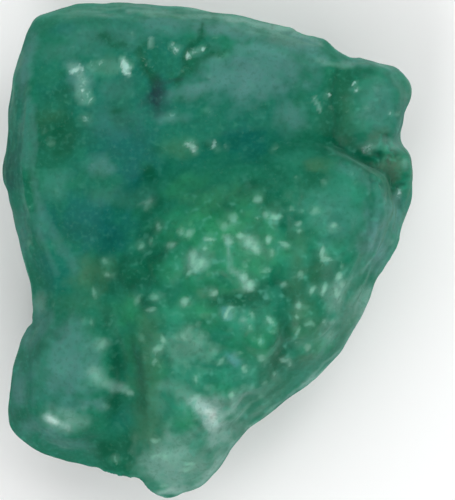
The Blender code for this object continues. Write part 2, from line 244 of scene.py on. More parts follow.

# How strongly the painted glow of a soft chip and the painted halo of light round every chip are coloured,
# and how fast a soft chip fades.
GLOW = 0.85
HALO = 0.30
SPOT_FADE = 0.45

# A chip's longest stretch, how deep its facet cuts, how far down it reaches, and the light that the facet is
# turned to.
LONGEST_CHIP = 1.7
FACET_DEPTH = 0.06
CHIP_REACH = 1.5
CHIP_LIGHT = (-0.20, -0.62, 0.76)

# How ragged the edges of all coloured marks are.
RAGGED = 0.40

# Chance patches of every colour on the sides that the camera doesn't see: their share and size.
HIDDEN_SHARE = 0.6
HIDDEN_SIZE = 6.0

# Linear colours of the stone, and of the painted highlights, glow, light and shade on it.
PALETTE = {
    "green": (0.010, 0.212, 0.122),
    "bright": (0.030, 0.322, 0.150),
    "mint": (0.034, 0.330, 0.214),
    "lift": (0.026, 0.300, 0.205),
    "teal": (0.002, 0.180, 0.132),
    "blue": (0.004, 0.168, 0.146),
    "grey": (0.112, 0.316, 0.290),
    "milky": (0.230, 0.470, 0.390),
    "olive": (0.060, 0.230, 0.120),
    "brown": (0.085, 0.205, 0.128),
    "dark": (0.000, 0.122, 0.060),
    "slate": (0.010, 0.050, 0.060),
    "glow": (0.300, 0.630, 0.490),
    "pale": (0.100, 0.420, 0.310),
    "sky": (0.090, 0.400, 0.380),
    "frost": (0.470, 0.740, 0.670),
    "white": (0.720, 0.900, 0.850),
}

# Where each colour lies on the upper side, in the order they cover each other:
# centre, radii, turn in degrees and share of the colour.
TINTS = [
    ("teal", [
        ((-7.0, 12.0), (10.0, 9.0), 0, 0.80),
        ((3.0, 13.0), (7.0, 4.0), 0, 0.70),
        ((-8.0, 12.0), (3.4, 2.2), 0, 0.60),
        ((-10.4, 2.4), (4.8, 3.2), -10, 0.95),
        ((-12.4, -1.6), (2.4, 2.8), 20, 0.90),
        ((3.2, 9.4), (3.0, 2.4), 10, 0.90),
        ((-12.2, 18.7), (1.8, 0.9), 0, 0.60),
        ((-3.6, 17.2), (1.6, 1.2), 0, 0.70),
        ((-12.6, -12.8), (2.6, 1.6), 0, 0.50),
        ((-6.9, -14.6), (1.4, 1.4), 0, 0.60),
    ]),
    ("blue", [
        ((-7.0, 9.2), (3.6, 2.4), -20, 0.90),
        ((-6.6, 6.8), (1.5, 1.6), 0, 0.90),
        ((-9.9, 2.0), (3.8, 2.6), -10, 0.95),
        ((3.5, 9.4), (1.6, 1.8), 0, 0.40),
        ((3.3, 8.3), (1.0, 1.0), 0, 0.40),
        ((-12.2, 18.8), (1.2, 0.7), 0, 0.40),
        ((-15.3, -10.8), (0.5, 0.7), 0, 0.60),
    ]),
    ("green", [
        ((-2.0, 5.6), (4.0, 1.4), 18, 0.90),
        ((4.2, 6.4), (5.0, 1.2), 5, 0.80),
        ((-2.6, 8.8), (2.0, 1.4), 0, 0.80),
        ((9.0, 9.9), (2.0, 1.0), 0, 0.70),
        ((-14.3, 10.0), (0.6, 1.4), 0, 0.60),
    ]),
    ("bright", [
        ((0.6, 2.4), (4.8, 2.8), 10, 1.00),
        ((3.4, -0.2), (4.6, 3.0), 0, 0.75),
        ((10.0, 0.6), (1.6, 1.4), 0, 0.60),
        ((-2.8, -1.6), (2.4, 1.8), 0, 0.50),
        ((-6.6, -5.4), (1.6, 1.8), 0, 0.90),
        ((-6.4, -8.6), (0.7, 3.0), 0, 0.60),
        ((1.6, -11.6), (1.8, 1.2), 0, 0.60),
        ((1.0, -3.6), (3.6, 1.4), 0, 0.70),
        ((-1.0, -5.4), (3.6, 1.6), 0, 0.70),
        ((4.4, -7.6), (2.4, 2.4), 0, 0.60),
        ((-2.0, -14.5), (1.3, 1.0), 0, 0.80),
        ((-1.6, 5.4), (2.6, 1.0), 15, 0.60),
        ((9.4, -8.2), (1.4, 1.0), 0, 0.50),
        ((-3.9, -10.6), (0.9, 1.4), 0, 0.50),
    ]),
    ("mint", [
        ((-2.4, -6.2), (2.0, 1.6), 0, 0.60),
        ((-1.4, -9.6), (2.2, 3.0), 15, 0.90),
        ((2.4, -11.0), (3.0, 1.8), -20, 0.80),
        ((3.4, -5.8), (2.2, 1.1), 0, 0.70),
        ((12.4, 4.6), (2.8, 3.0), 20, 0.75),
        ((10.0, 0.4), (1.6, 1.4), 0, 0.70),
        ((9.4, 3.4), (1.4, 2.2), 0, 0.60),
        ((-13.2, 5.8), (1.4, 1.6), 0, 0.40),
        ((-13.0, 8.4), (0.9, 0.9), 0, 0.50),
        ((-15.8, 16.2), (0.8, 1.8), 10, 0.70),
        ((-9.0, 15.2), (1.9, 1.1), 0, 0.70),
        ((-2.8, -13.2), (2.2, 1.8), 0, 0.70),
        ((7.6, 7.8), (2.0, 0.7), 0, 0.50),
    ]),
    ("grey", [
        ((-0.6, 13.7), (2.8, 0.7), 14, 0.90),
        ((4.2, 15.2), (5.4, 2.8), 12, 0.90),
        ((7.2, 11.4), (1.4, 1.6), 0, 0.60),
        ((7.2, 17.7), (4.4, 1.4), -18, 0.90),
        ((-9.0, 18.2), (4.5, 1.5), 0, 0.35),
        ((2.0, 18.8), (4.6, 0.9), -6, 0.80),
        ((-3.0, 11.5), (1.5, 0.6), 0, 0.60),
        ((-9.2, 7.1), (1.3, 1.0), 0, 0.60),
        ((-7.8, 11.0), (3.0, 1.6), 0, 0.22),
        ((-11.0, 15.0), (1.2, 1.8), 10, 0.60),
        ((-12.8, 16.9), (2.0, 1.0), 0, 0.30),
        ((-11.8, -9.8), (3.4, 4.2), 0, 0.75),
        ((-10.5, -8.7), (2.3, 1.9), 0, 0.50),
        ((10.8, 2.6), (2.4, 2.6), 0, 0.35),
        ((-11.5, -16.8), (2.6, 0.8), -8, 0.60),
        ((-9.0, -13.3), (1.0, 0.7), 0, 0.60),
        ((14.4, 1.0), (1.5, 3.2), 8, 1.00),
        ((16.2, 3.6), (0.7, 2.0), 0, 0.90),
        ((-15.6, -6.8), (1.0, 2.2), 0, 0.80),
        ((-3.6, 19.4), (2.8, 1.0), 0, 0.60),
        ((-7.6, 13.6), (1.6, 1.2), 0, 0.30),
        ((-13.0, 5.8), (1.4, 1.4), 0, 0.25),
        ((-16.0, 1.0), (0.9, 2.4), 0, 0.50),
        ((-15.2, 17.2), (1.2, 1.2), 0, 0.60),
        ((-13.4, -15.8), (1.6, 0.8), 0, 0.70),
        ((-15.6, -15.4), (1.2, 1.2), 0, 0.60),
        ((-16.0, 16.0), (1.0, 2.8), 0, 0.80),
        ((4.0, 17.2), (2.4, 0.9), 0, 0.80),
        ((14.8, 12.2), (2.4, 3.2), 0, 0.50),
        ((-16.4, -12.0), (0.8, 2.4), 0, 0.70),
        ((-14.0, -6.4), (1.2, 1.4), 0, 0.60),
        ((13.2, 16.2), (1.6, 0.6), 0, 0.70),
        ((2.4, -9.2), (0.6, 0.8), 0, 0.70),
    ]),
    ("dark", [
        ((-12.8, 10.2), (2.8, 2.8), 0, 1.00),
        ((-12.2, 13.0), (1.4, 1.0), 0, 0.70),
        ((-14.9, 6.0), (0.8, 3.0), 0, 0.80),
        ((-12.3, 8.4), (0.7, 1.0), 0, 0.60),
        ((-5.0, 6.5), (0.8, 1.0), 0, 0.95),
        ((-4.4, 8.6), (0.6, 0.5), 0, 0.60),
        ((-4.3, 3.9), (0.9, 1.2), 0, 0.70),
        ((-4.5, 0.4), (1.4, 2.4), 0, 0.60),
        ((-6.2, -2.3), (2.8, 1.8), 0, 1.00),
        ((2.9, -4.2), (3.2, 1.0), 0, 0.95),
        ((6.2, 3.8), (0.9, 1.0), 0, 0.50),
        ((-8.7, -6.0), (0.6, 1.2), 0, 0.70),
        ((-5.2, -4.2), (1.0, 1.2), 0, 0.70),
        ((-7.7, -9.4), (0.9, 2.6), 0, 0.75),
        ((-8.0, -12.8), (0.7, 1.3), 0, 0.80),
        ((-8.0, -17.2), (2.6, 1.3), -6, 1.00),
        ((-10.6, -16.4), (2.6, 0.9), -6, 0.40),
        ((-7.2, -18.9), (1.6, 0.8), -10, 0.90),
        ((-6.7, -17.4), (1.0, 2.4), 0, 0.90),
        ((-16.0, -14.3), (1.0, 0.9), 0, 0.60),
        ((-14.3, -8.6), (1.0, 1.0), 0, 0.70),
        ((0.6, -3.5), (2.0, 0.6), 0, 0.40),
        ((5.4, -3.4), (2.4, 0.9), 10, 0.90),
        ((6.2, -8.4), (0.9, 3.6), -12, 0.90),
        ((7.6, -3.2), (0.8, 2.0), 0, 0.40),
        ((8.6, -9.6), (1.8, 0.8), 20, 0.60),
        ((5.4, -12.0), (1.8, 1.0), 30, 0.50),
        ((-8.2, 17.8), (1.5, 0.7), 0, 0.40),
        ((-5.2, 17.4), (0.9, 0.6), 0, 0.50),
        ((-1.0, 17.9), (1.0, 0.5), 0, 0.60),
        ((-1.3, 15.7), (1.0, 0.8), 0, 0.70),
        ((0.2, 17.0), (0.7, 0.5), 0, 0.50),
        ((-0.1, 8.9), (0.5, 0.3), 0, 0.60),
        ((4.0, 5.6), (1.0, 0.7), 0, 0.60),
        ((5.4, 4.0), (1.0, 0.5), 0, 0.60),
        ((9.0, 6.2), (1.6, 1.0), 0, 0.70),
        ((13.6, 15.0), (1.5, 0.7), 0, 0.50),
        ((11.5, 15.1), (0.8, 0.7), 0, 0.80),
        ((11.4, 8.9), (1.3, 0.8), -15, 0.80),
        ((13.8, 7.6), (1.3, 0.6), -20, 0.95),
        ((15.9, 5.7), (0.8, 1.2), 0, 0.90),
    ]),
    ("slate", [
        ((-4.3, 13.3), (0.9, 1.5), 0, 0.85),
        ((-4.2, 12.4), (1.2, 1.0), 0, 0.50),
        ((-17.0, 7.2), (1.1, 2.8), 0, 0.60),
        ((-10.0, -15.8), (0.9, 0.6), 0, 0.30),
    ]),
    ("olive", [
        ((-9.9, -2.0), (2.2, 1.5), 30, 0.80),
        ((-11.0, -4.4), (1.8, 1.2), 0, 0.30),
        ((-2.6, 8.8), (1.5, 1.0), 0, 0.40),
        ((1.6, 4.6), (4.6, 1.0), 8, 0.30),
        ((-13.2, 11.6), (1.3, 0.9), 0, 0.20),
        ((9.4, 7.3), (1.6, 0.6), 0, 0.80),
        ((9.4, -1.8), (1.2, 1.6), 0, 0.60),
        ((8.8, -5.8), (1.4, 2.2), 0, 0.50),
        ((11.6, 11.6), (0.9, 2.4), 0, 0.50),
    ]),
    ("brown", [
        ((15.6, 7.2), (1.3, 1.2), 10, 0.85),
        ((14.6, 9.8), (1.3, 0.6), 0, 0.50),
        ((12.0, -6.6), (0.9, 2.6), -20, 0.50),
        ((6.2, 18.1), (1.8, 0.8), -15, 0.50),
        ((8.8, -9.2), (1.2, 0.8), 0, 0.40),
    ]),
    # Milky tone, partly the stone's own and partly painted light: the tip's highlight, the glow round glints
    # and the lit rims.
    ("milky", [
        ((-2.6, -18.4), (3.6, 3.0), 0, 0.90),
        ((13.5, -4.3), (1.0, 1.8), -35, 0.80),
        ((4.0, 19.9), (5.0, 0.9), -8, 0.70),
        ((0.8, -18.6), (1.0, 2.2), -30, 0.70),
        ((-3.0, -20.9), (1.8, 0.7), 0, 0.70),
        ((-14.6, -4.7), (0.9, 0.9), 0, 0.50),
        ((1.2, -15.8), (2.2, 1.8), 40, 0.90),
        ((0.4, -13.8), (2.2, 1.6), -40, 0.85),
        ((-1.5, -8.4), (2.0, 1.5), 0, 0.40),
        ((-8.6, 15.6), (1.6, 0.8), 0, 0.35),
        ((8.6, -11.6), (1.2, 0.5), 40, 0.60),
        ((-1.6, -18.6), (1.1, 0.9), 0, 0.60),
        ((-11.3, -14.5), (1.3, 1.0), 0, 0.50),
        ((10.8, -3.4), (1.2, 2.2), 10, 0.50),
        ((10.4, -7.0), (0.9, 1.2), 0, 0.50),
        ((-0.8, -0.9), (1.3, 1.0), 0, 0.50),
        ((3.8, 0.4), (1.2, 0.8), -30, 0.50),
        ((-8.9, -8.1), (0.8, 0.6), 0, 0.50),
        ((13.9, 8.8), (1.0, 0.6), 0, 0.50),
        ((15.9, 8.9), (1.3, 0.6), 0, 0.60),
        ((17.0, 7.6), (0.5, 0.9), 0, 0.50),
        ((-4.3, -8.4), (0.9, 1.1), 0, 0.40),
        ((-0.8, -12.9), (1.1, 0.7), 0, 0.60),
        ((2.8, -12.6), (1.2, 1.0), 0, 0.40),
        ((-4.3, -13.4), (0.9, 1.4), 0, 0.25),
    ]),
    # A soft painted glow of light on the front.
    ("glow", [
        ((-1.7, -8.2), (2.1, 1.7), 0, 0.38),
    ]),
]

# Long marks: colour, half width, share and path. Some are painted highlights and painted light, as noted by
# them.
STROKES = [
    # Painted highlight along the left ridge.
    ("grey", 0.22, 0.35, [(-14.8, 12.4), (-14.9, 8.0), (-14.5, 4.0), (-14.2, 1.0)]),
    ("dark", 0.75, 0.80, [(11.3, 14.4), (10.8, 11.4), (10.7, 9.4), (12.0, 8.3), (13.2, 7.6)]),
    ("dark", 0.22, 0.40, [(14.0, 3.6), (13.8, 1.4), (12.8, -2.0)]),
    ("dark", 0.16, 0.40, [(14.9, 3.0), (14.7, 1.2), (14.0, -0.8)]),
    ("dark", 0.18, 0.60, [(16.4, 4.2), (16.6, 3.0)]),
    ("olive", 1.00, 0.68, [(-5.0, -6.6), (-5.0, -10.0), (-5.1, -13.0), (-5.2, -16.0)]),
    ("olive", 0.60, 0.40, [(7.9, 1.0), (7.5, -3.0), (7.7, -7.5)]),
    # Painted highlight along a ridge on the lobe.
    ("milky", 0.40, 0.50, [(-9.8, -10.2), (-9.0, -11.0), (-7.6, -11.7)]),
    ("milky", 0.20, 0.55, [(-8.6, -11.3), (-7.6, -11.7), (-6.6, -12.3)]),
    ("milky", 0.20, 0.60, [(1.8, 0.9), (1.7, -0.2), (2.2, -1.6), (3.4, -2.7)]),
    # Painted highlight on the tip: a milky painted glow, then frosty and white painted highlights.
    ("milky", 0.60, 0.40, [(-3.4, -11.6), (-1.8, -12.2), (-0.6, -13.0)]),
    ("milky", 0.22, 0.60, [(0.8, -14.4), (1.6, -14.0), (2.3, -13.4), (2.3, -12.6)]),
    # The next mark is a milky painted glow round the glints at the left end.
    ("milky", 0.35, 0.36, [(-11.5, 15.4), (-10.8, 15.3), (-10.8, 14.0), (-10.2, 12.9)]),
    ("milky", 0.12, 0.70, [(-4.8, 18.0), (-4.8, 17.2)]),
    ("milky", 0.12, 0.80, [(9.3, 13.0), (9.5, 12.6), (9.9, 12.1)]),
    ("milky", 0.25, 0.40, [(9.4, 16.1), (12.4, 15.9)]),
    ("frost", 0.60, 0.62, [(-0.9, -12.9), (-0.1, -13.6), (0.6, -14.8)]),
    ("frost", 0.50, 1.00, [(-0.3, -13.7), (0.1, -14.1), (0.4, -14.7)]),
    ("white", 0.24, 0.90, [(-0.1, -13.9), (0.4, -14.5)]),
    # Painted highlight on the lobe, with a milky painted glow round it.
    ("milky", 0.70, 0.48, [(-13.4, -14.3), (-12.2, -15.0)]),
    ("frost", 0.32, 0.60, [(-13.5, -14.2), (-13.1, -14.6)]),
    ("frost", 0.28, 0.50, [(-12.7, -14.9), (-12.1, -15.1)]),
    ("white", 0.16, 0.70, [(-13.4, -14.3), (-13.0, -14.8)]),
    # Painted glint on the wedge.
    ("frost", 0.20, 0.60, [(-7.3, 16.1), (-7.0, 15.6), (-6.8, 15.0)]),
    ("dark", 0.34, 0.90, [(-5.7, 16.9), (-5.3, 15.9), (-5.0, 15.2), (-4.4, 14.2)]),
    ("dark", 0.22, 0.80, [
        (-2.3, 14.2), (-2.0, 15.2), (-1.9, 16.3), (-1.4, 17.6), (-0.6, 18.4), (-0.2, 19.3),
    ]),
    ("dark", 0.20, 0.70, [(-1.9, 16.3), (-0.2, 16.1), (1.3, 17.0)]),
    ("dark", 0.26, 0.70, [(-8.7, 18.2), (-7.9, 17.4), (-6.8, 17.5)]),
    ("dark", 0.16, 0.70, [(-7.9, 11.7), (-7.2, 11.9)]),
    ("slate", 0.16, 0.50, [(-4.4, 14.0), (-3.2, 14.3), (-2.0, 14.7)]),
    ("slate", 0.24, 0.50, [(-4.4, 14.2), (-4.3, 13.4), (-4.2, 12.8)]),
    ("grey", 0.45, 0.35, [(11.4, 7.0), (13.0, 6.3), (14.6, 5.4), (15.4, 4.0), (15.8, 2.2)]),
    ("dark", 0.25, 0.55, [(11.6, 8.1), (13.2, 7.3), (14.5, 6.7), (15.4, 5.8), (15.9, 4.4)]),
    # Painted light along the lower, lower right and upper rims.
    ("frost", 0.26, 0.50, [
        (-4.0, -20.8), (-2.4, -20.9), (-0.6, -20.2), (1.0, -18.6), (2.4, -16.9), (4.3, -15.0),
    ]),
    ("frost", 0.13, 0.28, [
        (4.3, -15.0), (6.7, -13.0), (9.5, -10.7), (11.3, -8.5), (12.8, -6.5), (13.8, -4.4),
    ]),
    ("frost", 0.20, 0.26, [(-7.0, 20.5), (-4.0, 20.4), (2.0, 19.9), (6.6, 19.1), (9.6, 17.8)]),
    # Painted highlight along the left ridge.
    ("grey", 0.30, 0.40, [(-15.3, 12.9), (-15.6, 10.0), (-15.5, 7.3)]),
    ("grey", 0.30, 0.35, [(-14.3, 4.3), (-13.8, 2.3), (-12.8, 0.3), (-11.3, -1.7)]),
    ("grey", 0.20, 0.30, [(-15.0, 3.0), (-14.0, 0.4), (-12.9, -2.0)]),
    ("milky", 0.14, 0.35, [(-5.8, 4.0), (-4.9, 4.1)]),
    ("grey", 0.60, 0.20, [(-9.4, 4.6), (-7.0, 4.4), (-4.8, 4.6)]),
    ("dark", 0.10, 0.90, [(-5.4, 16.0), (-5.1, 15.5)]),
    ("dark", 0.10, 0.90, [(-1.8, 16.0), (-1.5, 15.2)]),
    ("dark", 0.12, 0.90, [(-0.2, 19.4), (-0.5, 18.9)]),
    ("dark", 0.10, 0.90, [(0.6, 16.8), (1.1, 16.4)]),
    # Painted bluish glints.
    ("sky", 0.30, 0.70, [(1.9, -8.8), (2.6, -9.6)]),
    ("sky", 0.22, 0.60, [(1.5, -5.0), (1.7, -5.8)]),
    ("teal", 0.60, 0.50, [(16.8, 12.0), (16.6, 9.6)]),
    ("teal", 0.40, 0.45, [(17.2, 4.0), (17.2, 1.4)]),
    ("teal", 0.40, 0.35, [(16.0, 0.2), (15.0, -2.8)]),
]

# How light passes through the stone: its refraction and gloss, the share that passes straight through, the
# share that scatters and how far red, green and blue scatter, and what the body absorbs per metre.
REFRACTION = 1.58
GLOSS = 0.05
SEE_THROUGH = 0.15
CLOUDINESS = 0.8
SCATTER_REACH = 2.0
SCATTER_SHARES = (0.3, 1.0, 0.75)
BODY_COLOUR = (0.15, 0.80, 0.62)
BODY_DENSITY = 420.0

# The floor's width and its two shades of white.
FLOOR_WIDTH = 3000.0
FLOOR_SHADES = ((0.93, 0.93, 0.93), (0.95, 0.95, 0.95))

# The lamps: name, azimuth, elevation, distance, width and power in watts.
LAMPS = [
    ("key", -18, 50, 500.0, 120.0, 0.45),
    ("spark", 150, 55, 500.0, 100.0, 0.20),
    ("front", 10, 55, 1000.0, 900.0, 3.2),
    ("left", -80, 55, 1000.0, 900.0, 2.6),
    ("back", 175, 55, 1000.0, 900.0, 4.6),
    ("right", 95, 55, 1000.0, 900.0, 2.6),
]

# The sky's strength near the horizon and straight overhead.
SKY_LOW = 1.1
SKY_HIGH = 0.7

# The camera: its height above the stone's widest line, that line's height, how long a piece of that line the
# frame takes in, and where the frame's middle lies.
CAMERA_HEIGHT = 500.0
WIDEST_HEIGHT = 11.0
FRAME_HEIGHT = 42.5
FRAME_MIDDLE_X = 1.75


def ramp(values, low, high):
    """0 below low and 1 above high, smooth between."""
    share = np.clip((values - low) / (high - low), 0.0, 1.0)
    return share * share * (3.0 - 2.0 * share)


def fractal(points, size, octaves, shift=0.0):
    """Smooth noise from about -1 to 1, with features of this size in millimetres."""
    offset = Vector((shift, 0, 0))
    return np.array([noise.fractal(Vector(p) / size + offset, 0.9, 2.0, octaves) for p in points])


def warp(points, size, most, octaves):
    """The points pushed about by smooth noise, so that marks get natural outlines."""
    shifts = (5.0, 17.0, 29.0)
    return points + most * np.stack([fractal(points, size, octaves, shift) for shift in shifts], axis=1)


def oval(points, centre, radii, turn):
    """How far each point lies from an oval's centre as seen from above: 1 on its edge."""
    angle = math.radians(turn)
    along = np.array([math.cos(angle), math.sin(angle)])
    across = np.array([-along[1], along[0]])
    offset = points[:, :2] - np.array(centre)
    return np.hypot(offset @ along / radii[0], offset @ across / radii[1])


def as_marked(points):
    """The points in the measure that the marks are given in."""
    middle = np.array((FRAME_MIDDLE_X, 0.0, 0.0))
    return (points - middle) * np.array((MARK_SCALE, MARK_SCALE, 1.0)) + middle


def from_path(points, path):
    """How far each point lies from a path as seen from above."""
    nearest = np.full(len(points), np.inf)
    for start, end in zip(np.array(path[:-1]), np.array(path[1:])):
        step = end - start
        share = np.clip((points[:, :2] - start) @ step / (step @ step), 0.0, 1.0)
        gap = points[:, :2] - start - share[:, None] * step
        nearest = np.minimum(nearest, np.hypot(gap[:, 0], gap[:, 1]))
    return nearest


def read(mesh, name):
    """Every vertex's place or normal, whichever is named."""
    found = np.empty(len(mesh.vertices) * 3)
    mesh.vertices.foreach_get(name, found)
    return found.reshape(-1, 3)


def write(stone, points):
    """Moves the stone's vertices to these places."""
    stone.data.vertices.foreach_set("co", (points * MM).ravel())
    stone.data.update()


def apply_modifiers(stone):
    """Makes the mesh that the modifiers show the stone's own."""
    graph = bpy.context.evaluated_depsgraph_get()
    stone.data = bpy.data.meshes.new_from_object(stone.evaluated_get(graph))
    stone.modifiers.clear()


def remake(stone, voxel, passes):
    """Makes the stone's skin again from voxels of this size and eases it."""
    remesh = stone.modifiers.new("fine", "REMESH")
    remesh.mode = "VOXEL"
    remesh.voxel_size = voxel * MM
    ease = stone.modifiers.new("ease", "SMOOTH")
    ease.iterations = passes
    apply_modifiers(stone)


def copy_of(node):
    """A new object with a copy of the node's mesh."""
    stone = bpy.data.objects.new("emerald_surface", node.data.copy())
    bpy.context.scene.collection.objects.link(stone)
    return stone


def valley_share(points):
    """1 in the valleys that are worn soft and 0 elsewhere, low sides left out."""
    share = np.zeros(len(points))
    for centre, radii, turn in WORN_VALLEYS:
        share = np.maximum(share, 1.0 - ramp(oval(points, centre, radii, turn), 0.6, 1.2))
    return share * ramp(points[:, 2], VALLEYS_FROM, VALLEYS_FULLY_FROM)


def blurred(grid):
    """The grid blurred by FILL_BLUR millimetres."""
    reach = int(3.0 * FILL_BLUR / FILL_CELL)
    weights = np.exp(-0.5 * (np.arange(-reach, reach + 1) * FILL_CELL / FILL_BLUR) ** 2)
    weights /= weights.sum()
    for axis in (0, 1):
        grid = np.apply_along_axis(np.convolve, axis, grid, weights, mode="same")
    return grid


def fill_valleys(stone):
    """Raises the named valleys towards the blurred height of the upper side."""
    points = read(stone.data, "co") / MM
    cells = np.round(points[:, :2] / FILL_CELL).astype(int)
    cells -= cells.min(axis=0) - 1
    top = np.zeros(cells.max(axis=0) + 2)
    np.maximum.at(top, (cells[:, 0], cells[:, 1]), points[:, 2])
    level = blurred(top) / np.maximum(blurred((top > 0.0).astype(float)), 0.05)
    gap = level[cells[:, 0], cells[:, 1]] - FILL_BELOW - points[:, 2]
    fill = np.where(gap < LOWEST_FILLED, np.clip(gap, 0.0, MOST_FILL), 0.0)
    points[:, 2] += valley_share(points) * fill
    write(stone, points)


def drop_crumbs(stone):
    """Leaves only the stone's largest connected part."""
    mesh = bmesh.new()
    mesh.from_mesh(stone.data)
    left = set(mesh.verts)
    parts = []
    while left:
        part = [left.pop()]
        for vertex in part:
            fresh = [edge.other_vert(vertex) for edge in vertex.link_edges]
            fresh = [other for other in fresh if other in left]
            left.difference_update(fresh)
            part.extend(fresh)
        parts.append(part)
    for part in sorted(parts, key=len)[:-1]:
        bmesh.ops.delete(mesh, geom=part, context="VERTS")
    mesh.to_mesh(stone.data)
    mesh.free()


def wear_valleys(stone):
    """Eases the named valleys until they are as soft as the rest."""
    share = valley_share(read(stone.data, "co") / MM)
    group = stone.vertex_groups.new(name="worn")
    for step in np.unique(np.round(share[share > 0.02], 1)):
        chosen = np.nonzero(np.round(share, 1) == step)[0]
        group.add(chosen.tolist(), float(step), "REPLACE")
    smooth = stone.modifiers.new("worn", "SMOOTH")
    smooth.vertex_group = group.name
    smooth.iterations = WORN_PASSES
    apply_modifiers(stone)


def zone(points, name):
    """1 inside a named zone and 0 outside it, with a soft edge."""
    share = np.zeros(len(points))
    for centre, radii, turn in ZONES[name]:
        share = np.maximum(share, 1.0 - ramp(oval(points, centre, radii, turn), 0.7, 1.25))
    return share


def relief(points, kind, size, shift):
    """One kind of relief at every point, from about -1 to 1."""
    if kind == "knobs":
        return 2.0 * np.sqrt(fractal(points, size, 2, shift) ** 2 + 0.02) - 0.7
    if kind == "swell":
        return fractal(points, size, 3, shift)
    if kind == "pits":
        dents = ramp(fractal(points, size, 3, shift), 0.05, 0.55)
        return 0.5 * fractal(points, 2.0 * size, 2, shift) - dents
    ribs = points[:, 0] + 0.25 * points[:, 1] + 0.5 * fractal(points, 3.0 * size, 2, shift)
    return np.sin(ribs * 2.0 * math.pi / size) * (0.5 + 0.5 * fractal(points, 2.5, 2, shift + 3.0))


def carve(stone):
    """Adds the small relief along the normals; the flat face underneath stays flat."""
    points, normals = read(stone.data, "co") / MM, read(stone.data, "normal")
    top = ramp(normals[:, 2], 0.25, 0.7)
    free = ramp(points[:, 2], 0.15, 1.2)
    height = np.full(len(points), GROWTH)
    for order, (kind, size, most) in enumerate(EVERYWHERE):
        height += most * relief(points, kind, size, 60.0 + order)
    for order, (name, kind, size, most) in enumerate(RELIEF):
        height += top * zone(points, name) * most * relief(points, kind, size, 90.0 + 7.0 * order)
    bent = warp(points, 1.5, 0.3, 2)
    for most, width, path in LINES:
        height += top * most * (1.0 - ramp(from_path(bent, path), 0.0, 2.0 * width))
    for place, radius, depth in NICKS:
        height -= depth * (1.0 - ramp(oval(points, place, (radius, radius), 0), 0.0, 2.0))
    write(stone, points + (height * free)[:, None] * normals)


def softened(stone, values, passes):
    """The values, each eased towards those of its neighbours."""
    edges = np.empty(2 * len(stone.data.edges), dtype=int)
    stone.data.edges.foreach_get("vertices", edges)
    first, second = edges.reshape(-1, 2).T
    count = np.bincount(edges, minlength=len(values))
    for _ in range(passes):
        around = np.bincount(first, values[second], len(values))
        around += np.bincount(second, values[first], len(values))
        values = 0.5 * values + 0.5 * around / count
    return values


def chips():
    """Every chip, with how crisp it is: the named ones, then smaller stray ones."""
    rng = np.random.default_rng(7)
    found = []
    for region, places in CHIPS.items():
        found += [(*chip, 1.0 if region in CRISP else 0.0) for chip in places]
    for _ in range(STRAY_CHIPS):
        place = (rng.uniform(-STRAY_ACROSS, STRAY_ACROSS), rng.uniform(-STRAY_ALONG, STRAY_ALONG))
        radius, strength = rng.uniform(*STRAY_RADII), rng.uniform(*STRAY_STRENGTHS) ** 1.5
        found.append((place, radius, strength, STRAY_CRISPNESS))
    for _ in range(FRONT_CHIPS):
        place = tuple(rng.normal(FRONT_MIDDLE, FRONT_SPREAD))
        radius, strength = rng.uniform(*FRONT_RADII), rng.uniform(*FRONT_STRENGTHS)
        if all(oval(np.array([place]), *plain)[0] > 1.0 for plain in PLAIN):
            found.append((place, radius, strength, 0.0))
    return found


def chip(stone):
    """Turns small facets of the upper side towards the light and marks on the skin where the chips get their
    painted glints and glow.
    """
    points, normals = read(stone.data, "co") / MM, read(stone.data, "normal")
    up = ramp(normals[:, 2], 0.15, 0.5)
    toward = np.array(CHIP_LIGHT) / np.linalg.norm(CHIP_LIGHT) + np.array((0.0, 0.0, 1.0))
    glint, spot, power = np.zeros((3, len(points)))
    rng = np.random.default_rng(11)
    bent = warp(as_marked(points), 0.7, 0.18, 2)
    for place, radius, strength, crisp in chips():
        turn, stretch = rng.uniform(0.0, 180.0), rng.uniform(1.0, LONGEST_CHIP)
        flat = oval(bent, place, (stretch, 1.0 / stretch), turn)
        near = (flat < 2.0 * radius) & (up > 0.2)
        if not near.any():
            continue
        near &= points[:, 2] > points[near][:, 2].max() - CHIP_REACH
        share = 1.0 - ramp(flat[near] / radius, 0.3, 1.5)
        normal = toward + rng.normal(0.0, 0.10, 3)
        middle = np.average(points[near], axis=0, weights=share + 1e-6)
        offset = points[near][:, :2] - middle[:2]
        plane = middle[2] - (offset @ normal[:2]) / normal[2]
        tilt = share * up[near] * np.clip(plane - points[near][:, 2], -FACET_DEPTH, FACET_DEPTH)
        points[near, 2] += tilt * crisp * ramp(strength, 0.5, 0.9)
        bright = strength * (SOFT_GLINT + (1.0 - SOFT_GLINT) * crisp)
        glint[near] = np.maximum(glint[near], bright * share * up[near])
        faded = 1.0 - SPOT_FADE * flat / radius
        closer = near & (faded > spot)
        spot[closer] = faded[closer]
        power[closer] = strength * (1.0 - crisp) * up[closer]
    write(stone, points)
    for name, values in (("glint", glint), ("spot", spot), ("power", power)):
        stone.data.attributes.new(name, "FLOAT", "POINT").data.foreach_set("value", values)


